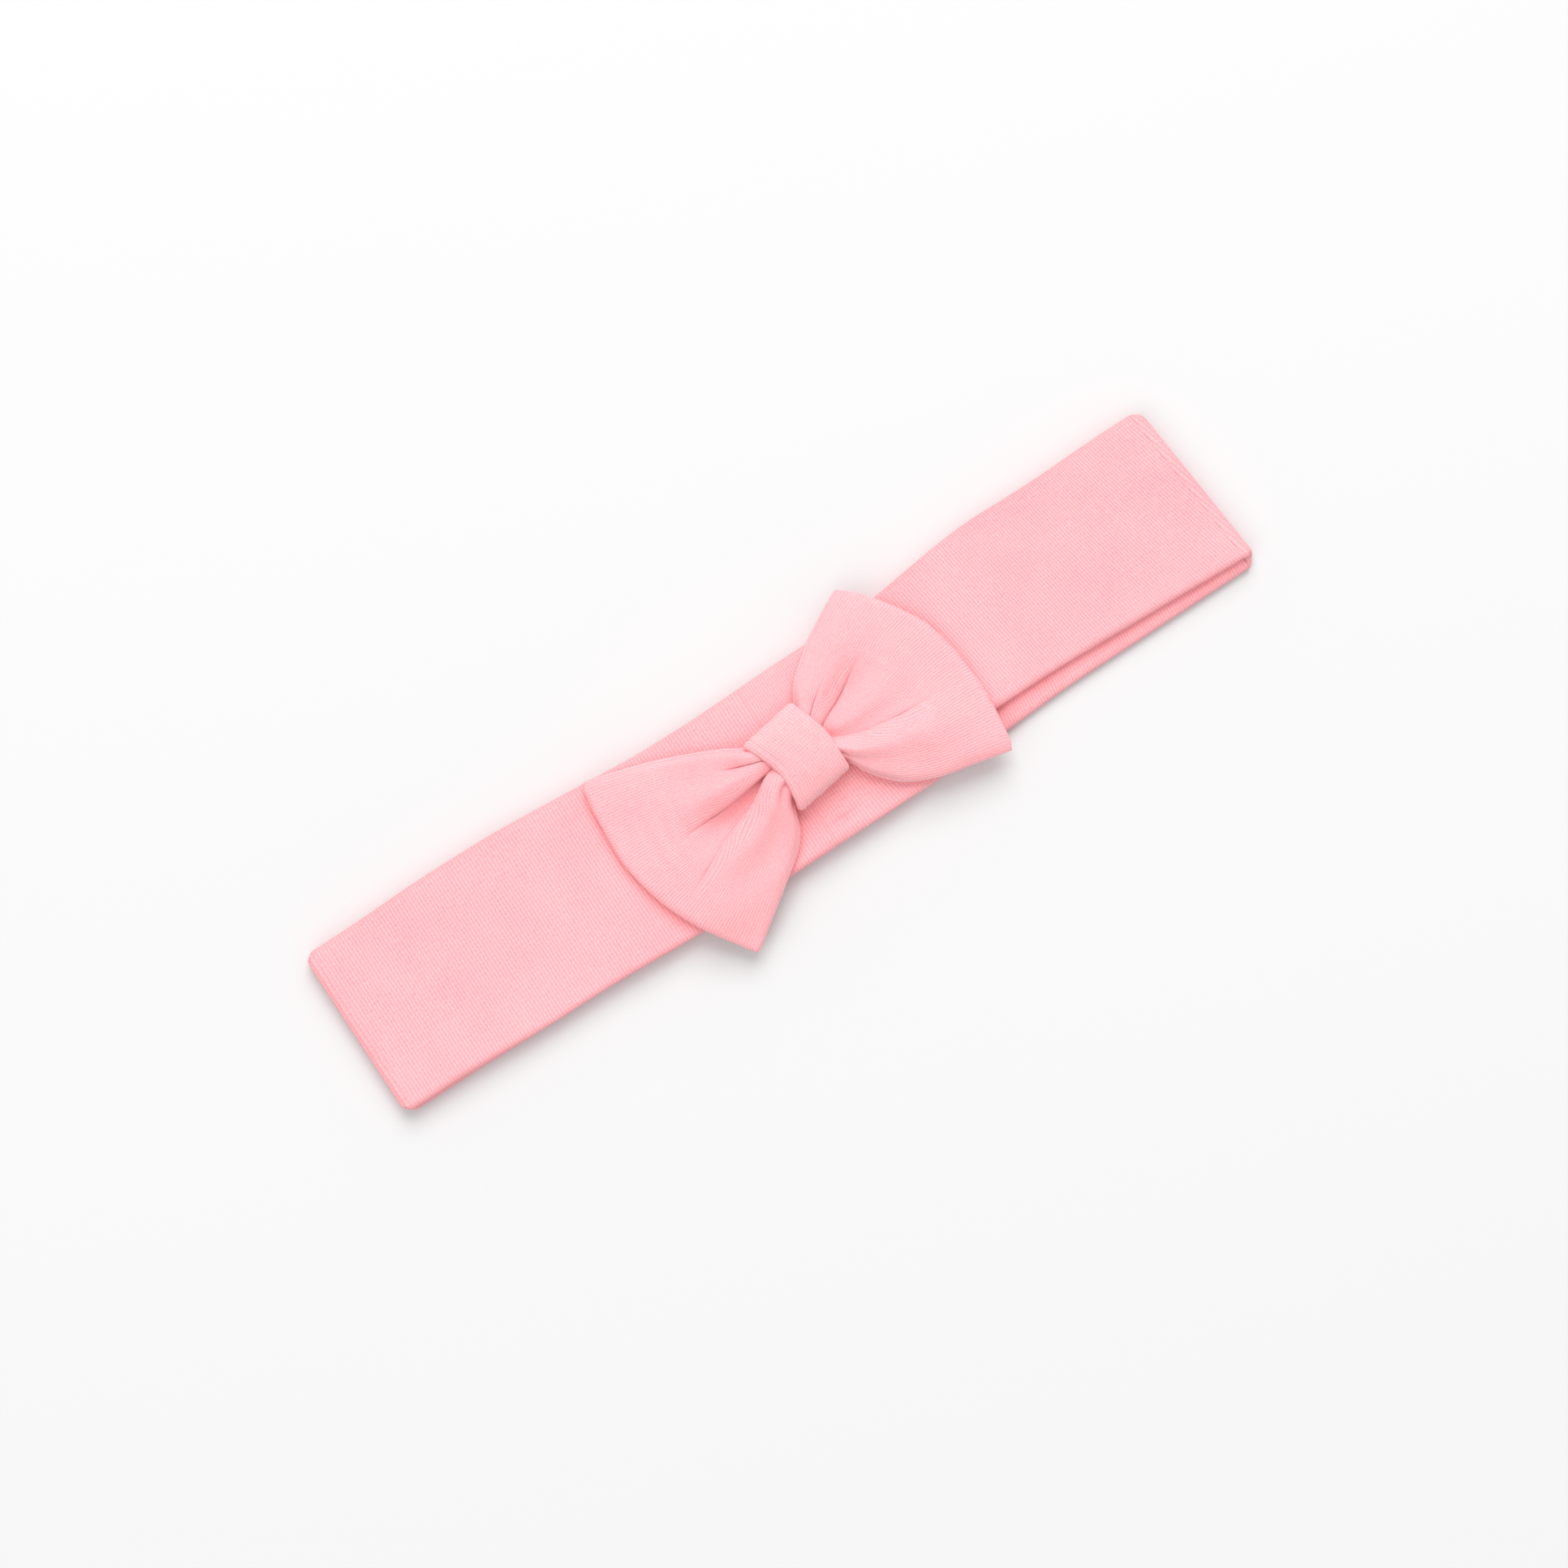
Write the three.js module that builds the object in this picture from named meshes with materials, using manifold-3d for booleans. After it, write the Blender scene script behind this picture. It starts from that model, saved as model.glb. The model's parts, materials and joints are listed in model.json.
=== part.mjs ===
// A child's rib-knit bow headband, lying flat: a closed loop of doubled knit band with a stitched bow.
// Units are millimetres. +X runs along the flat band, +Y across it, +Z up from the resting plane.
// The origin is the middle of the band on the resting plane.
import * as THREE from 'three';
import { mergeVertices } from 'three/addons/utils/BufferGeometryUtils.js';
import Module from 'manifold-3d';

const wasm = await Module();
wasm.setup();

// ---- driving dimensions ----
const BAND_LENGTH = 200;          // flat length between the two folded ends
const BAND_WIDTH = 38;            // width of the flat band
const PLY = 0.95;                 // one layer of rib knit
const PLY_GAP = 0.3;              // between the two layers of a piece
const HALF_GAP = 0.4;             // between the back half and the front half
const PANEL_GAP = 0.4;            // between neighbouring panels of the band
const JOIN_GAP = 1.2;             // between the loop's two sewn ends, for the join thread
const CENTRE_HALF = 17;           // from the middle to the bend beside the centre panels
const TOP_SAG = 2.8;              // how far the front half's upper edge dips at the bow
const BOTTOM_SAG = 1.4;           // how far both lower edges dip at the bow
const BOW_LIFT = 4.8;             // how far the front half's lower edge rides up at the right wing
const END_LIFT = 2.2;             // and at the right-hand fold
const SAG_NEAR = 20;              // the dip is full inside this distance from the middle
const SAG_FAR = 60;               // and gone outside this one
const LIFT_FAR = 40;              // the front half's lower edge has ridden up by here
const BOW_GAP = 0.8;              // between the band and the bow, for the tacking thread
const KNOT_X = 2.5;               // middle of the knot
const KNOT_Y = -1.25;
const KNOT_TURN = 9;              // degrees the bow is turned from the band
const KNOT_LENGTH = 12.6;         // knot strip, measured along the bow
const KNOT_HEIGHT = 17;           // knot strip, measured across the bow
const KNOT_SLIT = 0.8;            // between the strip's two ends under the bow
const WAIST_THICK = 2.4;          // gathered middle of the bow
const THREAD = 0.35;              // sewing thread
const THREAD_CLEAR = 0.25;        // round each thread
const STITCH_STEPS = 5;           // lengths of straight thread in one stitch
const THREAD_SIDES = 3;           // steps round half a thread
const NECK_CLEAR = 0.4;           // between the knot and each wing
const NECK_MARGIN = 1.6;          // from the knot's corner to the wing's edge
const WING_REACH = 37;            // from the knot's middle to the left wing's outer edge

// ---- derived heights ----
const HALF_THICK = 2 * PLY + PLY_GAP;
const FRONT_BASE = HALF_THICK + HALF_GAP;
const BAND_TOP = FRONT_BASE + HALF_THICK;
const FOLD_RADIUS = BAND_TOP / 2;
const FOLD_X = BAND_LENGTH / 2 - FOLD_RADIUS;
const PANEL_END = FOLD_X - FOLD_RADIUS - PANEL_GAP;
const BOW_BASE = BAND_TOP + BOW_GAP;
const WRAP_CLEAR = THREAD + 2 * THREAD_CLEAR;
const WAIST_BASE = BOW_BASE + HALF_THICK + WRAP_CLEAR;
const NECK_TOP = WAIST_BASE + WAIST_THICK;

const KNIT = new THREE.MeshStandardMaterial({ color: 0xfbc2c8, roughness: 0.95, metalness: 0 });
const KNIT_SHADE = new THREE.MeshStandardMaterial({ color: 0xf7b4bc, roughness: 0.95, metalness: 0 });
const SEWING_THREAD = new THREE.MeshStandardMaterial({ color: 0xf3a9b3, roughness: 0.6, metalness: 0 });

const headband = new THREE.Group();

function add(name, geometry, material) {
  const mesh = new THREE.Mesh(geometry, material);
  mesh.name = name;
  headband.add(mesh);
}

// ---- shared shape helpers ----
const smooth = (value, from, to) => THREE.MathUtils.smoothstep(value, from, to);

// A box whose unit coordinates (0..1 along, across and up) are carried to a shaped slab.
function shapedSlab(alongSteps, acrossSteps, place) {
  const box = new THREE.BoxGeometry(1, 1, 1, alongSteps, acrossSteps, 1);
  box.translate(0.5, 0.5, 0.5);
  const points = box.attributes.position;
  const point = new THREE.Vector3();
  for (let i = 0; i < points.count; i += 1) {
    point.fromBufferAttribute(points, i);
    place(point);
    points.setXYZ(i, point.x, point.y, point.z);
  }
  box.deleteAttribute('normal');
  box.deleteAttribute('uv');
  return mergeVertices(box, 1e-5);
}

function toSolid(geometry) {
  const bare = geometry.clone();
  bare.deleteAttribute('normal');
  bare.deleteAttribute('uv');
  const merged = mergeVertices(bare, 1e-4);
  return new wasm.Manifold(new wasm.Mesh({
    numProp: 3,
    vertProperties: new Float32Array(merged.attributes.position.array),
    triVerts: new Uint32Array(merged.index.array),
  }));
}

function toGeometry(solid) {
  const mesh = solid.getMesh();
  const geometry = new THREE.BufferGeometry();
  geometry.setAttribute('position', new THREE.BufferAttribute(mesh.vertProperties, 3));
  geometry.setIndex(new THREE.BufferAttribute(mesh.triVerts, 1));
  return geometry;
}

function threadAlong(points, steps) {
  const section = new THREE.Shape();
  section.absarc(0, 0, THREAD / 2, 0, 2 * Math.PI, false);
  const path = new THREE.CatmullRomCurve3(points);
  return new THREE.ExtrudeGeometry(section, {
    steps, curveSegments: THREAD_SIDES, extrudePath: path, bevelEnabled: false,
  });
}

// ---- the band: back half on the resting plane, front half lying on it ----
const dip = (x) => 1 - smooth(Math.abs(x), SAG_NEAR, SAG_FAR);
const upperEdge = (x) => BAND_WIDTH / 2 - TOP_SAG * dip(x);
const lowerEdge = (x) => -BAND_WIDTH / 2 - BOTTOM_SAG * dip(x);
const liftAt = (x) => THREE.MathUtils.mapLinear(x, LIFT_FAR, BAND_LENGTH / 2, BOW_LIFT, END_LIFT);
const frontLift = (x) => liftAt(Math.max(x, LIFT_FAR)) * smooth(x, SAG_NEAR, LIFT_FAR);
const halves = {
  back: { base: 0, lower: lowerEdge },
  front: { base: FRONT_BASE, lower: (x) => lowerEdge(x) + frontLift(x) },
};

const PANEL_STEPS = 8;            // straight lengths in one panel's edge

function bandPly(half, fromX, toX, layer) {
  const { base, lower } = halves[half];
  const floor = base + layer * (PLY + PLY_GAP);
  return shapedSlab(PANEL_STEPS, 1, (point) => {
    const x = THREE.MathUtils.lerp(fromX, toX, point.x);
    const y = THREE.MathUtils.lerp(lower(x), upperEdge(x), point.y);
    point.set(x, y, floor + PLY * point.z);
  });
}

// The outer layer faces away from the head: down on the back half, up on the front half.
function addPanel(body, half, fromX, toX) {
  const outerLayer = half === 'back' ? 0 : 1;
  add(`${body}_outer_ply`, bandPly(half, fromX, toX, outerLayer), KNIT);
  add(`${body}_lining_ply`, bandPly(half, fromX, toX, 1 - outerLayer), KNIT_SHADE);
}

const bend = CENTRE_HALF + PANEL_GAP / 2;
const centreEdge = CENTRE_HALF - PANEL_GAP / 2;
addPanel('back_centre', 'back', -centreEdge, centreEdge);
addPanel('back_left', 'back', -PANEL_END, -bend);
addPanel('back_right', 'back', bend, PANEL_END);
addPanel('front_left', 'front', -PANEL_END, -bend);
addPanel('front_right', 'front', bend, PANEL_END);
addPanel('front_centre', 'front', -centreEdge, -JOIN_GAP / 2);
addPanel('front_centre_right', 'front', JOIN_GAP / 2, centreEdge);

// ---- the turned cloth at each folded end, round about the fold's own axis ----
const TURN_SIDES = 24;

function foldTurn(side) {
  const x = side * FOLD_X;
  const from = halves.back.lower(x);
  const length = upperEdge(x) - from;
  const turn = new THREE.CylinderGeometry(FOLD_RADIUS, FOLD_RADIUS, length, TURN_SIDES);
  turn.translate(x, from + length / 2, FOLD_RADIUS);
  return turn;
}
add('left_fold_turn', foldTurn(-1), KNIT);
add('right_fold_turn', foldTurn(1), KNIT);

// ---- the thread that joins the loop's two ends, under the knot ----
function zigzag(count, place) {
  const points = [];
  for (let i = 0; i <= count; i += 1) points.push(place(i / count, i % 2 === 0 ? -1 : 1));
  return points;
}
const JOIN_STITCHES = 12;
const JOIN_INSET = 2;             // from the band's edges to the first and last stitch
const joinRise = HALF_THICK / 2 - THREAD;
add('join_thread', threadAlong(zigzag(JOIN_STITCHES, (t, turn) => new THREE.Vector3(
  0,
  THREE.MathUtils.lerp(lowerEdge(0) + JOIN_INSET, upperEdge(0) - JOIN_INSET, t),
  FRONT_BASE + HALF_THICK / 2 + turn * joinRise,
)), JOIN_STITCHES * STITCH_STEPS), SEWING_THREAD);

// ---- the bow, in its own turned frame: u along the bow, v across it ----
const turnAngle = THREE.MathUtils.degToRad(KNOT_TURN);
const bowX = (u, v) => KNOT_X + u * Math.cos(turnAngle) - v * Math.sin(turnAngle);
const bowY = (u, v) => KNOT_Y + u * Math.sin(turnAngle) + v * Math.cos(turnAngle);
const neckU = KNOT_LENGTH / 2 + NECK_CLEAR;
const neckV = KNOT_HEIGHT / 2 - NECK_MARGIN;

// Each wing's upper and lower edge ends at a corner; the outer edge swells between them.
// Corners are shares of the reach, because they follow the bow's size.
const wings = {
  left: { side: -1, upper: [0.95, 0.66], lower: [0.84, -0.64], swell: 0.135, edgeBow: 0.05 },
  right: { side: 1, upper: [0.73, 0.52], lower: [0.87, -0.77], swell: 0.17, edgeBow: 0.05 },
};

const EDGE_BULGE = 0.4;           // share of an edge's bow that also widens the wing

function wingPoint(wing, t, s) {
  const { side, upper, lower, swell, edgeBow } = wing;
  const upperU = THREE.MathUtils.lerp(neckU, upper[0] * WING_REACH, t);
  const lowerU = THREE.MathUtils.lerp(neckU, lower[0] * WING_REACH, t);
  const bow = edgeBow * WING_REACH * Math.sin(Math.PI * t);
  const upperV = THREE.MathUtils.lerp(neckV, upper[1] * WING_REACH, t) + bow * EDGE_BULGE;
  const lowerV = THREE.MathUtils.lerp(-neckV, lower[1] * WING_REACH, t) - bow * EDGE_BULGE;
  const out = swell * WING_REACH * Math.sin(Math.PI * s) * t;
  const u = side * (THREE.MathUtils.lerp(lowerU, upperU, s) + out);
  return [u, THREE.MathUtils.lerp(lowerV, upperV, s)];
}

// The wing is thick where it leaves the knot and thins to two plies at its outer edge.
const WING_SETTLE = 0.3;          // share of the wing over which the under ply comes down to the band
const underside = (t) => {
  const left = Math.max(0, 1 - t / WING_SETTLE);
  return BOW_BASE + (WAIST_BASE - BOW_BASE) * left * left;
};
const topside = (t) => BOW_BASE + HALF_THICK + (NECK_TOP - BOW_BASE - HALF_THICK) * (1 - t) * (1 - t);

const WING_STEPS = 10;            // cells from the knot to the outer edge
const WING_LANES = 8;             // cells across the wing

function wingPly(wing, isFace) {
  return shapedSlab(WING_STEPS, WING_LANES, (point) => {
    const t = wing.side < 0 ? 1 - point.x : point.x;
    const [u, v] = wingPoint(wing, t, point.y);
    const floor = isFace ? topside(t) - PLY : underside(t);
    point.set(bowX(u, v), bowY(u, v), floor + PLY * point.z);
  });
}
for (const [name, wing] of Object.entries(wings)) {
  add(`bow_${name}_face_ply`, wingPly(wing, true), KNIT);
  add(`bow_${name}_back_ply`, wingPly(wing, false), KNIT_SHADE);
}

// Carries a solid made along the bow's own axes (x across, y up, z along) to its place.
function placeOnBow(geometry, baseZ) {
  geometry.rotateX(Math.PI / 2);
  geometry.rotateZ(Math.PI / 2);
  geometry.rotateZ(turnAngle);
  geometry.translate(KNOT_X, KNOT_Y, baseZ);
  return geometry;
}

function roundedRect(width, height, radius) {
  const shape = new THREE.Shape();
  const x = width / 2 - radius;
  const y = height / 2 - radius;
  shape.absarc(x, y, radius, 0, Math.PI / 2, false);
  shape.absarc(-x, y, radius, Math.PI / 2, Math.PI, false);
  shape.absarc(-x, -y, radius, Math.PI, 1.5 * Math.PI, false);
  shape.absarc(x, -y, radius, 1.5 * Math.PI, 2 * Math.PI, false);
  shape.closePath();
  return shape;
}

const waistMiddle = WAIST_BASE + WAIST_THICK / 2;
const waistWidth = KNOT_HEIGHT - 2 * (HALF_THICK + WRAP_CLEAR);

// ---- gathered waist of the bow, with the gathering thread round it ----
const CORNER_STEPS = 6;

function ring(width, height, radius, wall, length) {
  const outline = roundedRect(width, height, radius);
  outline.holes.push(roundedRect(width - 2 * wall, height - 2 * wall, radius - wall));
  const solid = new THREE.ExtrudeGeometry(outline, {
    depth: length, bevelEnabled: false, curveSegments: CORNER_STEPS,
  });
  solid.translate(0, 0, -length / 2);
  return solid;
}
const WAIST_ROUND = 0.45;         // corner radius of the gathered waist, as a share of its thickness
const waistRadius = WAIST_ROUND * WAIST_THICK;
const waist = new THREE.ExtrudeGeometry(roundedRect(waistWidth, WAIST_THICK, waistRadius), {
  depth: KNOT_LENGTH, bevelEnabled: false, curveSegments: CORNER_STEPS,
});
waist.translate(0, 0, -KNOT_LENGTH / 2);
add('bow_waist', placeOnBow(waist, waistMiddle), KNIT_SHADE);

const COIL_LENGTH = 4 * THREAD;   // four turns of thread, side by side
const coilOut = THREAD_CLEAR + THREAD;
add('gather_thread', placeOnBow(ring(
  waistWidth + 2 * coilOut, WAIST_THICK + 2 * coilOut, waistRadius + coilOut, THREAD, COIL_LENGTH,
), waistMiddle), SEWING_THREAD);

// ---- the knot: a folded strip of two plies wrapped round the waist, its ends meeting below ----
function wrapPly(outset) {
  const width = waistWidth + 2 * (WRAP_CLEAR + outset + PLY);
  const height = WAIST_THICK + 2 * (WRAP_CLEAR + outset + PLY);
  const radius = waistRadius + WRAP_CLEAR + outset + PLY;
  const wrap = toSolid(ring(width, height, radius, PLY, KNOT_LENGTH));
  const slit = new THREE.BoxGeometry(KNOT_SLIT, height, 2 * KNOT_LENGTH);
  slit.translate(0, -height / 2, 0);
  return placeOnBow(toGeometry(wrap.subtract(toSolid(slit))), waistMiddle);
}
add('knot_inner_ply', wrapPly(0), KNIT_SHADE);
add('knot_outer_ply', wrapPly(PLY + PLY_GAP), KNIT);

// ---- the thread that closes the strip and tacks the bow to the band ----
const TACK_STITCHES = 8;
const TACK_SPREAD = 2.2;          // half width of the tacking zigzag
const TACK_INSET = 1.5;           // from the strip's edges to the first and last stitch
add('tack_thread', threadAlong(zigzag(TACK_STITCHES, (t, turn) => {
  const u = THREE.MathUtils.lerp(-KNOT_LENGTH / 2 + TACK_INSET, KNOT_LENGTH / 2 - TACK_INSET, t);
  const v = turn * TACK_SPREAD;
  return new THREE.Vector3(bowX(u, v), bowY(u, v), BAND_TOP + BOW_GAP / 2);
}), TACK_STITCHES * STITCH_STEPS), SEWING_THREAD);

export default headband;
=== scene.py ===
# %% Load the frame
import json
import math

import bmesh
import bpy
import numpy as np
from mathutils import Matrix, Vector


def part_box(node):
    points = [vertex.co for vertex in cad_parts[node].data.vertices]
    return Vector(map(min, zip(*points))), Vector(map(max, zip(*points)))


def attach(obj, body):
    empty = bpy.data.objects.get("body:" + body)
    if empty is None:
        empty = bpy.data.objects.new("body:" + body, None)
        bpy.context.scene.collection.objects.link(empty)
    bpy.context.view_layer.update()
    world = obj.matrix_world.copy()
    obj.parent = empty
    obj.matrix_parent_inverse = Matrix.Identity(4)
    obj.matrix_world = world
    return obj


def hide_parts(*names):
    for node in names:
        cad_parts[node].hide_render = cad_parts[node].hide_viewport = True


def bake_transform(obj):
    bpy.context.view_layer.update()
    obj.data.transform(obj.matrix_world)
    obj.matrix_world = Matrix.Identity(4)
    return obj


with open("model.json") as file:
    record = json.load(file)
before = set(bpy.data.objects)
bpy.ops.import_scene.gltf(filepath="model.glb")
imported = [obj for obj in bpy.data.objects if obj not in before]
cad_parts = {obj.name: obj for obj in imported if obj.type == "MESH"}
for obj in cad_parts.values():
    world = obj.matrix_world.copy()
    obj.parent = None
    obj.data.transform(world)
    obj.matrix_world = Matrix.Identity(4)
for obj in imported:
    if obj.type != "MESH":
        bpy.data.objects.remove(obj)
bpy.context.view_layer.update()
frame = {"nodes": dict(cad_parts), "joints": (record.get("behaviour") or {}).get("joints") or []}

# %% [markdown]
# # A child's bow headband in rib knit
# The real thing is a loop of soft knitted tube with a bow sewn to its front. It lies folded flat, so the
# front half rests on the back half. Everything here is cloth, so almost every piece is a thin shell whose
# shape is a formula: how far along, how far across, how high. A grid from `bmesh.ops.create_grid` carries
# that formula well, because its flat co-ordinates also become the UV map that the knit pattern follows.

# %% Units and small helpers
MM = 0.001


def smooth(value, start, end):
    """0 before start, 1 after end, with a soft ramp between."""
    t = np.clip((np.asarray(value, dtype=float) - start) / (end - start), 0, 1)
    return t * t * (3 - 2 * t)


def mix(a, b, t):
    return a + (b - a) * t


def bump_at(value, middle, width):
    return np.exp(-((value - middle) / width) ** 2)


def box_mm(node):
    low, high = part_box(node)
    return np.array(low) / MM, np.array(high) / MM


def joint_mm(name):
    joint = next(j for j in frame["joints"] if j["name"] == name)
    return np.array(joint["pos_m"]) / MM


# %% [markdown]
# ## The camera
# The camera comes first, so each later step can be judged from the same place. The headband is seen from
# straight above with a long lens, and the camera is rolled so that the band runs from lower left to upper
# right. A camera's matrix is three directions and a place: its right, its up, and the way back.

# %% Camera
ROLL = math.radians(33.18)
LENS = 100
VIEW_WIDTH = 0.3076
LOOK_AT = Vector((-0.00238, -0.00439, 0.004))

camera_data = bpy.data.cameras.new("camera")
camera_data.lens = LENS
camera_data.sensor_width = 36
camera = bpy.data.objects.new("camera", camera_data)
bpy.context.scene.collection.objects.link(camera)
bpy.context.scene.camera = camera
height = VIEW_WIDTH * LENS / camera_data.sensor_width
right = Vector((math.cos(ROLL), -math.sin(ROLL), 0))
up = Vector((math.sin(ROLL), math.cos(ROLL), 0))
turn = Matrix((right, up, Vector((0, 0, 1)))).transposed().to_4x4()
camera.matrix_world = Matrix.Translation(LOOK_AT + Vector((0, 0, height))) @ turn
print("camera height in m:", round(height, 3))

# %% [markdown]
# ## Nodes and colours
# Colours are picked as sRGB hex values, as a designer would, and turned to the linear values that shaders
# mix. One function adds a node with its settings and its links.


# %% Colour and node helpers
def linear(hex_colour):
    parts = [int(hex_colour[i:i + 2], 16) / 255 for i in (1, 3, 5)]
    return [v / 12.92 if v <= 0.04045 else ((v + 0.055) / 1.055) ** 2.4 for v in parts] + [1.0]


def add_node(tree, kind, settings=None, **inputs):
    """Adds a node; an input is a number, a colour or another node's output socket."""
    made = tree.nodes.new(kind)
    for key, value in (settings or {}).items():
        setattr(made, key, value)
    for key, value in inputs.items():
        socket = made.inputs[int(key[1:])] if key[1:].isdigit() else made.inputs[key.replace("_", " ")]
        if isinstance(value, bpy.types.NodeSocket):
            tree.links.new(value, socket)
        else:
            socket.default_value = value
    return made


def new_material(name):
    material = bpy.data.materials.new(name)
    material.use_nodes = True
    tree = material.node_tree
    tree.nodes.clear()
    return material, tree


def math_node(tree, operation, a, b=0.0, c=0.0):
    return add_node(tree, "ShaderNodeMath", {"operation": operation}, _0=a, _1=b, _2=c).outputs[0]


# %% [markdown]
# ## Floor and light
# The headband lies on a plain pale sheet. A broad soft light from the camera's top gives the short soft
# shadow below each edge. A weaker one fills from the lower left, and a white world fills the rest. Area
# lights are aimed by turning their -Z axis.

# %% Floor, world and lights
floor_mesh = bmesh.new()
bmesh.ops.create_grid(floor_mesh, x_segments=1, y_segments=1, size=3)
floor_data = bpy.data.meshes.new("floor")
floor_mesh.to_mesh(floor_data)
floor_mesh.free()
floor = bpy.data.objects.new("floor", floor_data)
FLOOR_GAP = 0.2 * MM
floor.location.z = -FLOOR_GAP
bpy.context.scene.collection.objects.link(floor)

paper, paper_tree = new_material("matt_white_paper")
paper_shader = add_node(paper_tree, "ShaderNodeBsdfPrincipled", Base_Color=linear("#dddddd"), Roughness=0.9)
paper_shader.inputs["Specular IOR Level"].default_value = 0.1
paper_out = add_node(paper_tree, "ShaderNodeOutputMaterial")
paper_tree.links.new(paper_shader.outputs[0], paper_out.inputs[0])
floor_data.materials.append(paper)

bpy.context.scene.view_settings.view_transform = "Standard"
WORLD_STRENGTH = 0.62
world = bpy.data.worlds.new("studio")
bpy.context.scene.world = world
world.use_nodes = True
world.node_tree.nodes["Background"].inputs[0].default_value = linear("#ffffff")
world.node_tree.nodes["Background"].inputs[1].default_value = WORLD_STRENGTH


def add_light(name, direction, distance, size, power):
    """An area light that shines on the middle of the band from this direction."""
    light_data = bpy.data.lights.new(name, "AREA")
    light_data.size = size
    light_data.energy = power
    light = bpy.data.objects.new(name, light_data)
    way = Vector(direction).normalized()
    light.location = way * distance
    light.rotation_mode = "QUATERNION"
    light.rotation_quaternion = (-way).to_track_quat("-Z", "Y")
    bpy.context.scene.collection.objects.link(light)


KEY_SLOPE = 0.8
add_light("key", up * KEY_SLOPE + Vector((0, 0, 1)), distance=2.4, size=1.7, power=46.0)
add_light("fill", -up * 0.6 - right * 0.5 + Vector((0, 0, 1.2)), distance=2.4, size=2.0, power=14.0)

# %% [markdown]
# ## The knit
# The cloth is a fine 1x1 rib in combed cotton with a little elastane. It comes off a circular knitting
# machine as raised columns of stitches, called wales, about two thirds of a millimetre apart, and each
# stitch is a small V half a millimetre long. The eye sees soft ridges with warmer, darker valleys, because
# light bounces from wall to wall inside each valley. That darker, warmer valley colour is painted shade,
# mixed into the colour beside the bump. The pattern follows the piece's UV map, which holds
# real metres: x across the wales and y along them. Cotton fibres catch light at the rim, so it has sheen.
# There are three versions of one cloth. The band's is plain. In the bow it is gathered, and light that
# enters a crease leaves it again redder, so it has some subsurface glow. Round the knot it is also pulled
# tight, which opens its stitches, so they show more. The band has no glow, because its two front pieces
# meet end to end and glow would draw a line there.

# %% Rib knit material
WALE = 0.655 * MM
GROOVE_SHARE = 0.6
COURSE = 0.52 * MM
RELIEF = 0.065 * MM
COLUMN_SWAY = 0.5
RIDGE_POWER = 0.62
CHEVRON_SLANT = 1.1
FUZZ_HEIGHT = 0.25
KNIT_CONTRAST, KNIT_BASE = 0.75, 0.15
CLOUD_CONTRAST, SPECK_CONTRAST = 0.5, 0.9
FLECK_START, FLECK_GAIN = 0.42, 1.6


def rib_height(run_mm, relief):
    """The mesh's own ribs, in mm, at this run of the cloth across its wales."""
    return relief * (abs(np.sin(math.pi * run_mm * MM / WALE)) - GROOVE_SHARE)


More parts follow.
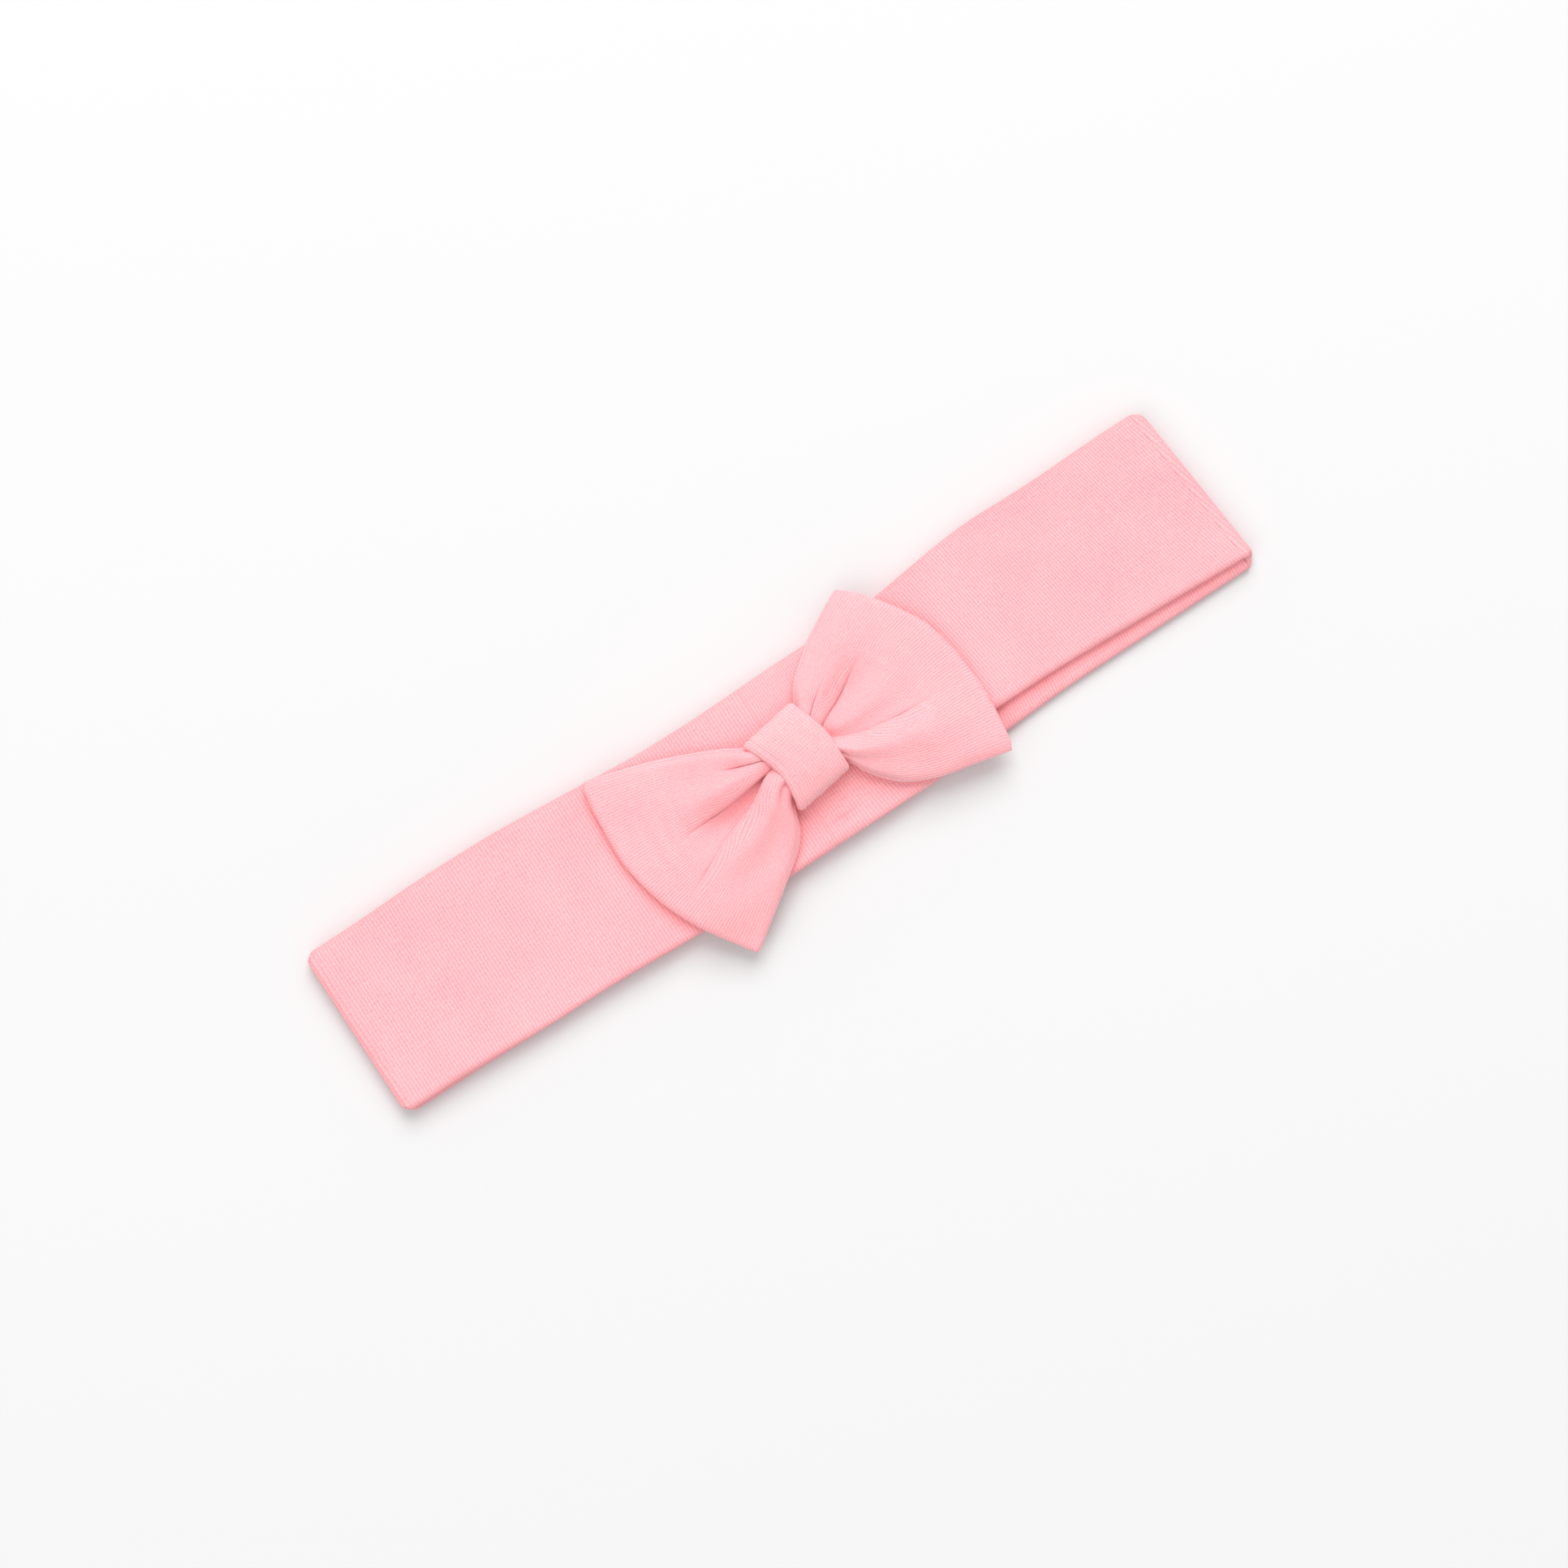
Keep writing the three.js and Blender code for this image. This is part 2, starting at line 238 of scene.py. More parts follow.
def rib_knit(name, ridge_colour, valley_shade_colour, fleck_colour, glow=0.0, stitch_depth=0.17):
    material, tree = new_material(name)
    uv = add_node(tree, "ShaderNodeUVMap", {"uv_map": "knit"})
    split = add_node(tree, "ShaderNodeSeparateXYZ", _0=uv.outputs[0])
    place = add_node(tree, "ShaderNodeTexCoord").outputs["Object"]
    wander = add_node(tree, "ShaderNodeTexNoise", Vector=place, Scale=260.0, Detail=2.0)
    sway = math_node(tree, "MULTIPLY", math_node(tree, "SUBTRACT", wander.outputs[0], 0.5), COLUMN_SWAY)
    across = math_node(tree, "ADD", math_node(tree, "DIVIDE", split.outputs[0], WALE), sway)
    along = math_node(tree, "DIVIDE", split.outputs[1], COURSE)
    side = math_node(tree, "ABSOLUTE", math_node(tree, "SUBTRACT", math_node(tree, "FRACT", across), 0.5))
    ridge = math_node(tree, "POWER", math_node(tree, "SINE", math_node(
        tree, "MULTIPLY", math_node(tree, "FRACT", across), math.pi)), RIDGE_POWER)
    chevron = math_node(tree, "ADD", along, math_node(tree, "MULTIPLY", side, CHEVRON_SLANT))
    stitch = math_node(tree, "SINE", math_node(tree, "MULTIPLY", chevron, 2 * math.pi))
    stitch = math_node(tree, "MULTIPLY_ADD", stitch, stitch_depth, 1 - stitch_depth)
    fuzz = add_node(tree, "ShaderNodeTexNoise", Vector=place, Scale=2600.0, Detail=3.0)
    knit = math_node(tree, "MULTIPLY", ridge, stitch)
    height = math_node(tree, "MULTIPLY_ADD", fuzz.outputs[0], FUZZ_HEIGHT, knit)

    cloud = add_node(tree, "ShaderNodeTexNoise", Vector=place, Scale=70.0, Detail=3.0)
    shade = math_node(tree, "MULTIPLY_ADD", cloud.outputs[0], CLOUD_CONTRAST, -CLOUD_CONTRAST / 2)
    speck = math_node(tree, "MULTIPLY_ADD", fuzz.outputs[0], SPECK_CONTRAST, -SPECK_CONTRAST / 2)
    tone = math_node(tree, "MULTIPLY_ADD", knit, KNIT_CONTRAST, KNIT_BASE)
    tone = math_node(tree, "ADD", tone, shade)
    tone = math_node(tree, "ADD", tone, speck)
    ramp = add_node(tree, "ShaderNodeMix", {"data_type": "RGBA", "clamp_factor": True})
    tree.links.new(tone, ramp.inputs[0])
    # The valley end of the ramp is painted shade: the grooves between wales are drawn darker and warmer.
    ramp.inputs[6].default_value = linear(valley_shade_colour)
    ramp.inputs[7].default_value = linear(ridge_colour)
    fleck = add_node(tree, "ShaderNodeTexNoise", Vector=place, Scale=950.0, Detail=4.0, Roughness=0.7)
    fleck_amount = math_node(tree, "SUBTRACT", fleck.outputs[0], FLECK_START)
    fleck_amount = math_node(tree, "MULTIPLY", fleck_amount, FLECK_GAIN)
    heather = add_node(tree, "ShaderNodeMix", {"data_type": "RGBA", "clamp_factor": True})
    tree.links.new(fleck_amount, heather.inputs[0])
    tree.links.new(ramp.outputs[2], heather.inputs[6])
    heather.inputs[7].default_value = linear(fleck_colour)

    bump = add_node(tree, "ShaderNodeBump", Strength=1.0, Distance=RELIEF, Height=height)
    cotton = add_node(tree, "ShaderNodeBsdfPrincipled", Base_Color=heather.outputs[2], Roughness=0.92,
                      Normal=bump.outputs[0])
    cotton.inputs["Specular IOR Level"].default_value = 0.1
    cotton.inputs["Subsurface Weight"].default_value = glow
    cotton.inputs["Subsurface Radius"].default_value = (1.0, 0.28, 0.28)
    cotton.inputs["Subsurface Scale"].default_value = 1.3 * MM
    cotton.inputs["Sheen Weight"].default_value = 0.12
    cotton.inputs["Sheen Roughness"].default_value = 0.5
    cotton.inputs["Sheen Tint"].default_value = linear("#ffe8ea")
    out = add_node(tree, "ShaderNodeOutputMaterial")
    tree.links.new(cotton.outputs[0], out.inputs[0])
    return material


# Each cloth's second colour is its painted valley shade.
cotton_rib = rib_knit("combed_cotton_rib_knit", "#ffc0c5", "#fb8c96", "#ffb1b0")
gathered_rib = rib_knit("combed_cotton_rib_knit_gathered", "#ffc4c9", "#fb939c", "#ffb5b4", glow=0.45)
stretched_rib = rib_knit("combed_cotton_rib_knit_stretched", "#ffc8cc", "#fb939c", "#ffb9b8",
                         glow=0.45, stitch_depth=0.22)

# %% [markdown]
# ## A cloth grid
# `create_grid` lays a flat sheet of squares from -0.5 to 0.5. Moved to 0..1, each corner's two numbers say
# which bit of cloth it is. Its UV in metres is worked out from them and so is its place, so the knit stays
# true to the cloth however it is folded. Numpy works out every point at once. Edges that meet are then
# merged, and holes closed.

# %% Cloth grid helper
MERGE_DISTANCE = 0.004 * MM


def cloth_grid(name, cells_along, cells_round, place, knit_mm, material, closed=True):
    """place and knit_mm take arrays of 0..1 along and 0..1 round the piece and return mm."""
    bm = bmesh.new()
    bmesh.ops.create_grid(bm, x_segments=cells_along, y_segments=cells_round, size=0.5)
    flat = np.array([v.co[:2] for v in bm.verts]) + 0.5
    knit = np.stack(knit_mm(flat[:, 0], flat[:, 1]), axis=1) * MM
    layer = bm.loops.layers.uv.new("knit")
    for face in bm.faces:
        face.smooth = True
        for loop in face.loops:
            loop[layer].uv = knit[loop.vert.index]
    points = np.stack(place(flat[:, 0], flat[:, 1]), axis=1) * MM
    for vert, point in zip(bm.verts, points):
        vert.co = point
    if closed:
        bmesh.ops.remove_doubles(bm, verts=bm.verts, dist=MERGE_DISTANCE)
        for cap in bmesh.ops.holes_fill(bm, edges=bm.edges, sides=0)["faces"]:
            cap.smooth = False
        bmesh.ops.recalc_face_normals(bm, faces=bm.faces)
        if bm.calc_volume(signed=True) < 0:
            bmesh.ops.reverse_faces(bm, faces=bm.faces)
    data = bpy.data.meshes.new(name)
    bm.to_mesh(data)
    bm.free()
    data.materials.append(material)
    made = bpy.data.objects.new(name, data)
    bpy.context.scene.collection.objects.link(made)
    print(name, "faces:", len(data.polygons), "size mm:", [round(v / MM, 1) for v in made.dimensions])
    return made


# %% [markdown]
# ## The band
# The band is one flat tube of knit. Seen end on it is a stadium: two straight layers joined by two small
# half circles. That section is swept along the back, round the fold and along the front. The sizes come
# from the frame, so the cloth fits the panels it stands for. The front half's lower edge rides up on the
# right, both edges dip a little at the bow, and the right fold runs slightly askew, as on a real one.

# %% Band sizes from the frame
fold_x, _, fold_z = joint_mm("right_fold")
half_width = box_mm("left_fold_turn")[1][1]
ply_radius = box_mm("back_centre_lining_ply")[1][2] / 2
band_top = box_mm("front_centre_outer_ply")[1][2]
top_sag = half_width - box_mm("front_centre_outer_ply")[1][1]
bottom_sag = -box_mm("back_centre_outer_ply")[0][1] - half_width
spine_radius = fold_z - ply_radius
turn_length = math.pi * spine_radius
RIB_RELIEF = 0.032
BOW_LIFT, END_LIFT, LIFT_NEAR, LIFT_FAR = 4.8, 2.2, 22, 40
SAG_NEAR, SAG_FAR = 20, 60
EDGE_WAVER, WAVER_LENGTH = 0.15, 6.5
LEFT_RISE, RISE_NEAR, RISE_FAR = 0.9, 62, 90
FRONT_RISE, BOTH_RISE = 0.6, 0.5
TURN_TRIM = 0.9
FOLD_SKEW = 3.8
SKEW_NEAR = 45
END_CLEAR = 0.003
WALE_SPREAD = 0.052
RIB_LEAN = math.tan(math.radians(8))
LEAN_FAR = 20


def upper_edge(x):
    waver = EDGE_WAVER * np.sin(x / WAVER_LENGTH)
    return half_width - top_sag * (1 - smooth(abs(x), SAG_NEAR, SAG_FAR)) + waver


def lower_edge(x, front):
    sag = bottom_sag * (1 - smooth(abs(x), SAG_NEAR, SAG_FAR))
    ride = mix(BOW_LIFT, END_LIFT, (np.maximum(x, LIFT_FAR) - LIFT_FAR) / (fold_x - LIFT_FAR))
    left = LEFT_RISE * smooth(-x, RISE_NEAR, RISE_FAR)
    front_rise = ride * smooth(x, LIFT_NEAR, LIFT_FAR) + left * FRONT_RISE
    return -half_width - sag + front * front_rise + left * BOTH_RISE


def stadium(round_share):
    """The flat tube's section from 0..1: across (-1..1 of the straight part), bulge (mm), height."""
    q = (np.asarray(round_share) % 1.0) * 4
    lap = np.floor(q)
    t = q - lap
    angle = (t - 0.5) * math.pi
    one = 1.0 + 0 * t
    laps = [lap == 0, lap == 1, lap == 2]
    across = np.select(laps, [2 * t - 1, one, 1 - 2 * t], -one)
    out = np.select([lap == 1, lap == 3], [np.cos(angle), -np.cos(angle)], 0.0)
    rise = np.select(laps, [-one, np.sin(angle), one], -np.sin(angle))
    return across, out, rise


# The outer layer has the most rows, the hidden lining fewer, and each rounded edge a few.
SECTION_ROWS = [60, 5, 14, 5]


def row_share(rows, counts):
    """Spreads the grid's even rows so that each stretch of the section gets its own count."""
    even = np.asarray(rows) * sum(counts)
    return np.interp(even, np.cumsum([0] + counts), [0, 0.25, 0.5, 0.75, 1.0])


# %% [markdown]
# ### Creases and softness
# Flat knit is never quite flat. Long shallow waves, finer ones and a small tuck below the knot, with a lip
# beside it, are added to the outer layer of the front half. Each is less than a millimetre high or deep.

# %% Soft relief of the outer layer
WAVE_HEIGHT, FINE_HEIGHT = 0.24, 0.10
TUCK_DEPTH, TUCK_LIP = 0.95, 0.6


def soft_relief(x, y):
    waves = WAVE_HEIGHT * np.sin(x / 8.3 + 0.6 * np.sin(y / 9)) * np.sin(y / 13 + x / 31)
    fine = FINE_HEIGHT * np.sin(x / 3.1 + y / 5.7) * np.sin(y / 4.3 - x / 7.9)
    tuck = -TUCK_DEPTH * bump_at(x, 3.6, 3.4) * bump_at(y, -16.6 + 0.05 * (x - 3), 0.6)
    tuck_lip = TUCK_LIP * bump_at(x, 3.4, 4.5) * bump_at(y, -18.1, 1.1)
    return (waves + fine) * smooth(fold_x - abs(x), 1, 12) + tuck + tuck_lip


def band_place(part, side):
    def place(along, rows):
        across, out, rise = stadium(row_share(rows, SECTION_ROWS))
        if part == "turn":
            angle = (along - 0.5) * math.pi
            x = side * (fold_x + spine_radius * np.cos(angle))
            z = fold_z + spine_radius * np.sin(angle)
            nx, nz = -side * np.cos(angle), -np.sin(angle)
            front = along
            trim = TURN_TRIM * np.cos(angle) ** 2
        else:
            front = 1.0 if part == "front" else 0.0
            x = side * mix(END_CLEAR, fold_x, along if part == "back" else 1 - along)
            z = fold_z + spine_radius * (2 * front - 1)
            nx, nz = 0.0, 1 - 2 * front
            trim = 0.0
        low, high = lower_edge(x, front) + trim, upper_edge(x) - trim
        middle, reach = (low + high) / 2, (high - low) / 2 - ply_radius
        y = middle + across * reach + out * ply_radius
        knit_x, _ = band_knit(part, side)(along, rows)
        rib = rib_height(knit_x, RIB_RELIEF)
        lift = rise * ply_radius
        outer = np.clip(-rise, 0, 1)
        grow = rib + (outer * soft_relief(x, y) if part == "front" else 0.0)
        lift = lift + grow * rise
        y = y + out * rib
        x = x + nx * lift
        z = z + nz * lift
        if side > 0:
            x = x - FOLD_SKEW * (y + half_width) / (2 * half_width) * smooth(x, SKEW_NEAR, fold_x)
        return x, y, z
    return place


def band_knit(part, side):
    def knit(along, rows):
        across, out, _ = stadium(row_share(rows, SECTION_ROWS))
        y = across * (half_width - ply_radius) + out * ply_radius
        start = {"back": 0.0, "turn": fold_x, "front": fold_x + turn_length}[part]
        length = turn_length if part == "turn" else fold_x
        run = start + length * along
        whole = 2 * fold_x + turn_length
        # A whole number of wales fits each side, so a ridge lies where the two sides meet.
        stretch = round(whole * (1.0 + WALE_SPREAD * side) * MM / WALE) * WALE / MM / whole
        share = row_share(rows, SECTION_ROWS)
        from_middle = np.minimum(run, whole - run)
        lean = -RIB_LEAN * y * smooth(from_middle, 0, LEAN_FAR) if side > 0 else 0 * y
        return side * run * stretch + lean + WALE / MM / 2, share * 4 * half_width
    return knit


CELL_LENGTH = 0.17
PANEL_CELLS = int(fold_x / CELL_LENGTH)
TURN_CELLS = 24
band_cloth = {}
for side, side_name in ((-1, "left"), (1, "right")):
    for part in ("back", "turn", "front"):
        name = f"band_{part}_{side_name}"
        cells = TURN_CELLS if part == "turn" else PANEL_CELLS
        band_cloth[name] = cloth_grid(name, cells, sum(SECTION_ROWS), band_place(part, side),
                                      band_knit(part, side), cotton_rib)

# %% [markdown]
# ### Band pieces in place of their panels
# Each length of cloth crosses one joint. Here its place is baked into its mesh, and the frame's panels and
# fold turn that it stands for are hidden.

# %% Band pieces in place of their panels
centre_body = {"back": ("back_centre", "back_centre"), "front": ("front_centre", "front_centre_right")}
for index, (side, side_name) in enumerate(((-1, "left"), (1, "right"))):
    for part in ("back", "front"):
        cloth = band_cloth[f"band_{part}_{side_name}"]
        middle = centre_body[part][index]
        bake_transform(cloth)
        panels = [f"{part}_{side_name}", middle]
        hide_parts(*[f"{p}_{layer}_ply" for p in panels for layer in ("outer", "lining")])
    turn_cloth = band_cloth[f"band_turn_{side_name}"]
    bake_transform(turn_cloth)
    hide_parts(f"{side_name}_fold_turn")

# %% [markdown]
# ## The bow's wings
# The bow is a strip of the same tube, folded back on itself and pulled together in its middle. Each wing
# is therefore a soft pouch: flat and wide at its outer fold, and deeply pleated where the knot grips it.
# Its outline is a smooth curve through a few points in mm on the band, and the cloth is stretched between
# the curves. The ribs run from the knot to the outer fold and fan out. A pleat is a groove along a line
# from the knot that sinks, and whose upper lip is pushed over the valley, so the cloth really overlaps.


# %% Smooth curves through a few points
CURVE_STEPS = 24


def smooth_path(points):
    """A curve through the points; the function returned takes 0..1 by length and gives x and y."""
    p = np.array(points, dtype=float)
    p = np.vstack([2 * p[0] - p[1], p, 2 * p[-1] - p[-2]])
    t = np.linspace(0, 1, CURVE_STEPS, endpoint=False)[:, None]
    runs = [0.5 * (2 * b + (c - a) * t + (2 * a - 5 * b + 4 * c - d) * t ** 2
                   + (3 * b - a - 3 * c + d) * t ** 3)
            for a, b, c, d in zip(p, p[1:], p[2:], p[3:])]
    line = np.vstack(runs + [p[-2][None]])
    length = np.concatenate([[0], np.cumsum(np.linalg.norm(np.diff(line, axis=0), axis=1))])
    share = length / length[-1]
    return lambda s: np.stack([np.interp(s, share, line[:, 0]), np.interp(s, share, line[:, 1])])


# %% Wing outlines and pleats
# Each pleat: where it leaves the knot and where it points, as shares across the wing (0 is the lower edge),
# how far along the wing it reaches, how deep it is, how far its lip overlaps, and which side lies on top.
WINGS = {
    "left": {
        "upper": [(-0.5, 3.6), (-5.4, 6.1), (-10, 8.7), (-20, 13), (-30, 16.2), (-35.0, 17.4)],
        "lower": [(1.5, -6.6), (-2.6, -9.0), (-4.4, -13.4), (-6.8, -16.6), (-12, -20.6),
                  (-23, -28.4), (-24.8, -29.3)],
        "outer": [(-24.8, -29.3), (-26.6, -26.8), (-31, -20), (-34, -14), (-36, -8),
                  (-37.3, 0), (-36.8, 10), (-36.1, 15.2), (-35.0, 17.4)],
        "ripple": 0.16,
        "phase": 0.4,
        "pleats": [(0.45, 0.33, 1.0, 2.6, 1.9, -1), (0.63, 0.56, 0.80, 2.4, 1.1, 1),
                   (0.83, 0.84, 0.40, 1.7, 0.9, 1), (0.20, 0.16, 0.30, 0.7, 0.3, -1)],
    },
    "right": {
        "upper": [(4.2, 4.6), (7.4, 7.6), (10, 11.3), (15, 15.5), (20, 18.6), (25, 21.3), (26.8, 22.0)],
        "lower": [(6.5, -5.6), (10.6, -8.1), (12, -10.7), (14.2, -13.8), (18, -17.3),
                  (24, -20), (30, -21.4), (37, -23), (38.6, -23.3)],
        "outer": [(38.6, -23.3), (39.5, -21), (40.4, -14), (40.6, -8), (40, -1),
                  (38.5, 6), (36, 11), (32, 16.8), (28.4, 20.8), (26.8, 22.0)],
        "ripple": 0.06,
        "phase": 2.1,
        "pleats": [(0.62, 0.80, 0.74, 2.5, 1.2, 1), (0.35, 0.35, 0.86, 3.0, 1.6, -1),
                   (0.82, 0.86, 0.50, 1.6, 0.9, 1), (0.14, 0.14, 0.30, 0.7, 0.3, -1)],
    },
}
STRIP_WIDTH = 50.0
OUTER_SPAN = 47.0
WING_LENGTH = 36.0
WING_ROWS = [124, 5, 124, 5]
WING_CELLS = 90
neck_top = box_mm("bow_waist")[1][2]
neck_base = box_mm("bow_waist")[0][2]

# How the pouch lies: its height and thickness, its rounded edges, and how it is gathered, filled and hangs.
WING_REST = band_top + 0.4
WING_THICK = 2.1
LEAST_THICK = 1.0
SIDE_ROUND = 0.95
END_ROUND = 0.035
EDGE_TURN = 1.2
BOW_RIB_RELIEF = 0.03
NECK_SQUEEZE = 0.6
SWELL_POWER = 1.6
BODY_POWER = 0.8
PUFF = 2.1
GATHER_REACH = 0.62
HUMP_EXTRA, HUMP_EDGE = 0.5, 0.35
SLACK_LONG, SLACK_SHORT = 0.8, 0.3
SETTLE = 0.3
LOWER_DROOP, UPPER_DROOP = 2.3, 1.2

# How a pleat is shaped: where it fades, and how wide and deep its valley, lip and crease are.
PLEAT_FULL = 0.5
PLEAT_CURVE = 0.8
PLEAT_WIDTH, PLEAT_SPREAD = 1.4, 4.2
VALLEY_PLACE, LIP_PLACE, LIP_WIDTH = 0.6, 0.8, 0.9
CREASE_PLACE, CREASE_WIDTH, CREASE_SPREAD = 0.25, 0.38, 0.35
LIP_SHARE, VALLEY_SHARE, CREASE_SHARE = 0.55, 0.9, 0.62
SLIDE_PLACE, SLIDE_WIDTH = 0.35, 0.8
STRAND_SOFT, STRAND_FADE = 0.30, 5.0


def wing_surface(wing):
    """The flat outline: takes 0..1 from the knot and 0..1 across, and returns x and y in mm."""
    upper, lower, outer = (smooth_path(wing[k]) for k in ("upper", "lower", "outer"))

    def flat(t, s):
        low, high = lower(t), upper(t)
        low_end, high_end = lower(np.ones_like(s)), upper(np.ones_like(s))
        swell = outer(s) - mix(low_end, high_end, s)
        return mix(low, high, s) + swell * t ** SWELL_POWER

    return flat


def pleat_at(pleat, t, s, span):
    """How strong a pleat is here, and how many mm this point is above its line."""
    s_knot, s_end, reach = pleat[:3]
    near = 1 - smooth(t, PLEAT_FULL * reach, reach)
    return near, (s - mix(s_knot, s_end, t ** PLEAT_CURVE)) * span


def span_at(flat, t, s):
    """The wing's width in mm at this distance from the knot."""
    return np.linalg.norm(flat(t, np.ones_like(s)) - flat(t, np.zeros_like(s)), axis=0)


def cloth_run(wing, t, s):
    """The strip's width below this point: pleats swallow what the wing is too narrow to show."""
    span = span_at(wing_surface(wing), t, s)
    squeeze = 1 + NECK_SQUEEZE * (1 - t) ** 1.5
    hidden = np.clip(STRIP_WIDTH - STRIP_WIDTH / OUTER_SPAN * span * squeeze, 0, None)
    weights, steps = 0, 0
    for pleat in wing["pleats"]:
        near, gap = pleat_at(pleat, t, s, span)
        weight = pleat[3] * (near + 0.05)
        soft = STRAND_SOFT + STRAND_FADE * (1 - near)
        weights = weights + weight
        steps = steps + weight / (1 + np.exp(-np.clip(gap / soft, -30, 30)))
    return s * (STRIP_WIDTH - hidden) + hidden * steps / weights


def wing_shape(wing):
    flat = wing_surface(wing)

    def shape(t, s, rise):
        """rise is 1 on the face, -1 on the back and between them round the edge."""
        here = flat(t, s)
        step = 0.002
        across = flat(t, np.clip(s + step, 0, 1)) - flat(t, np.clip(s - step, 0, 1))
        span = span_at(flat, t, s)
        across = across / np.linalg.norm(across, axis=0)
        face = (rise + 1) / 2
        slide = np.zeros_like(t)
        sink = np.zeros_like(t)
        for pleat in wing["pleats"]:
            near, gap = pleat_at(pleat, t, s, span)
            depth, lap, over = pleat[3:]
            gap = gap * over
            wide = PLEAT_WIDTH + PLEAT_SPREAD * t
            valley = bump_at(gap, -VALLEY_PLACE * wide, wide)
            lip = bump_at(gap, LIP_PLACE * wide, LIP_WIDTH * wide)
            crease = np.exp(-np.abs(gap + CREASE_PLACE) / (CREASE_WIDTH + CREASE_SPREAD * t))
            dent = LIP_SHARE * lip - VALLEY_SHARE * valley - CREASE_SHARE * crease
            sink = sink + near * depth * dent
            slide = slide - over * near * lap * bump_at(gap, SLIDE_PLACE, SLIDE_WIDTH)
        body = np.sqrt(np.clip(1 - (2 * s - 1) ** 2, 0, 1))
        puff = PUFF * body * np.sin(math.pi * np.clip(t, 0, 1)) ** BODY_POWER
        gather = (1 - smooth(t, 0, GATHER_REACH)) ** 1.1
        hump = neck_top - WING_REST - WING_THICK + HUMP_EXTRA
        hump = gather * hump * (HUMP_EDGE + (1 - HUMP_EDGE) * body ** BODY_POWER)
        waves = SLACK_LONG * np.sin(9.0 * s + 5.5 * t + wing["phase"])
        waves = waves + SLACK_SHORT * np.sin(17.0 * s - 9.0 * t + 2 * wing["phase"])
        slack = bump_at(t, 0.62, 0.3) * body * waves
        outer_part = bump_at(t, 0.76, 0.13) * bump_at(s, 0.62, 0.2)
        ripple = slack + wing["ripple"] * np.sin(2 * math.pi * (t * 11 + 2.2 * s)) * outer_part
        droop = LOWER_DROOP * smooth(-here[1] - 20.3, -1, 10) + UPPER_DROOP * smooth(here[1] - 17, -1, 7)
        under = WING_REST + (neck_base - WING_REST) * np.clip(1 - t / SETTLE, 0, 1) ** 2 - droop
        over_top = WING_REST + WING_THICK + puff + hump + ripple - droop + sink
        over_top = np.maximum(over_top, under + LEAST_THICK)
        z = mix(under, over_top, face)
        here = here + across * (slide * face)
        return here, across, z
    return shape


def wing_place(wing):
    shape = wing_shape(wing)

    def place(along, rows):
        bar, out, rise = stadium(row_share(rows, WING_ROWS))
        t = wing_along(along)
        s = (bar + 1) / 2
        here, across, z = shape(t, s, rise)
        end = np.sqrt(np.clip(1 - np.clip((t - (1 - END_ROUND)) / END_ROUND, 0, 1) ** 2, 0, 1))
        middle = shape(t, s, 0.0 * rise)[2]
        z = mix(middle, z, end)
        rib = rib_height(cloth_run(wing, t, s), BOW_RIB_RELIEF) * smooth(t, 0.3, 0.6)
        z = z + rib * rise * end
        inset = SIDE_ROUND * (1 - 2 * s)
        here = here + across * (inset + out * (SIDE_ROUND + rib)) * end
        return here[0], here[1], z
    return place


def wing_along(along):
    """More cells in the last stretch, where the outer fold turns."""
    return np.interp(along, [0, 0.9, 1.0], [0, 1 - END_ROUND, 1.0])


def wing_knit(wing):
    def knit(along, rows):
        bar, out, rise = stadium(row_share(rows, WING_ROWS))
        t = wing_along(along)
        run = cloth_run(wing, t, (bar + 1) / 2)
        return run + out * EDGE_TURN, np.where(rise > 0, t, 2 - t) * WING_LENGTH
    return knit


# %% Wing meshes
wing_cloth = {}
for side, side_name in ((-1, "left"), (1, "right")):
    wing = WINGS[side_name]
    wing_cloth[side_name] = cloth_grid(f"bow_wing_{side_name}", WING_CELLS, sum(WING_ROWS),
                                       wing_place(wing), wing_knit(wing), gathered_rib)

# %% [markdown]
# ### Wings in place of their plies
# The wing is held by the knot. Here the lift joint's pivot and the way out from the knot's middle are
# worked out, each wing's place is baked into its mesh, and the frame's plies it stands for are hidden.

# %% Wings in place of their plies
for side, side_name in ((-1, "left"), (1, "right")):
    pivot = joint_mm(f"{side_name}_wing_lift")
    knot_low, knot_high = box_mm("knot_outer_ply")
    knot_middle = (knot_low + knot_high) / 2
    outward = pivot - knot_middle
    outward[2] = 0
    outward = outward / np.linalg.norm(outward)
    cloth = wing_cloth[side_name]
    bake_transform(cloth)
    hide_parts(f"bow_{side_name}_face_ply", f"bow_{side_name}_back_ply")

# %% [markdown]
# ## The knot
# A second strip, folded along its length so both raw edges are hidden, is wrapped round the gathered
# middle and sewn shut underneath. Its ribs run round the wrap. The section of the strip is a stadium again,
# and its path is a rounded square. It leans to the right in its middle, and a thin groove marks off
# its left edge, like a rolled hem. Being pulled tight makes its stitches longer.

# %% Knot strip
knot_low, knot_high = box_mm("knot_outer_ply")
knot_centre = (knot_low + knot_high) / 2
lift_axis = next(j for j in frame["joints"] if j["name"] == "left_wing_lift")["axis"]
bow_turn = math.atan2(-lift_axis[0], lift_axis[1])
STRIP_THICK = 2.0
KNOT_ROWS = [44, 6, 44, 6]
KNOT_CELLS = 150
KNOT_SPAN_U = 6.3
KNOT_SPAN_V = 8.7
KNOT_LEAN = 1.5
KNOT_SQUARE = 2.5
WRAP_LENGTH = 44.0
KNOT_STRETCH = 1.28
SIDE_WIDEN = 0.05
HEM_GROOVE, HEM_FROM_EDGE, HEM_WIDTH = 0.22, 1.5, 0.25
KNOT_RIPPLE = 0.05
EDGE_HUG = 0.9
knot_base = band_top + 0.1
knot_top = knot_high[2] - 0.6


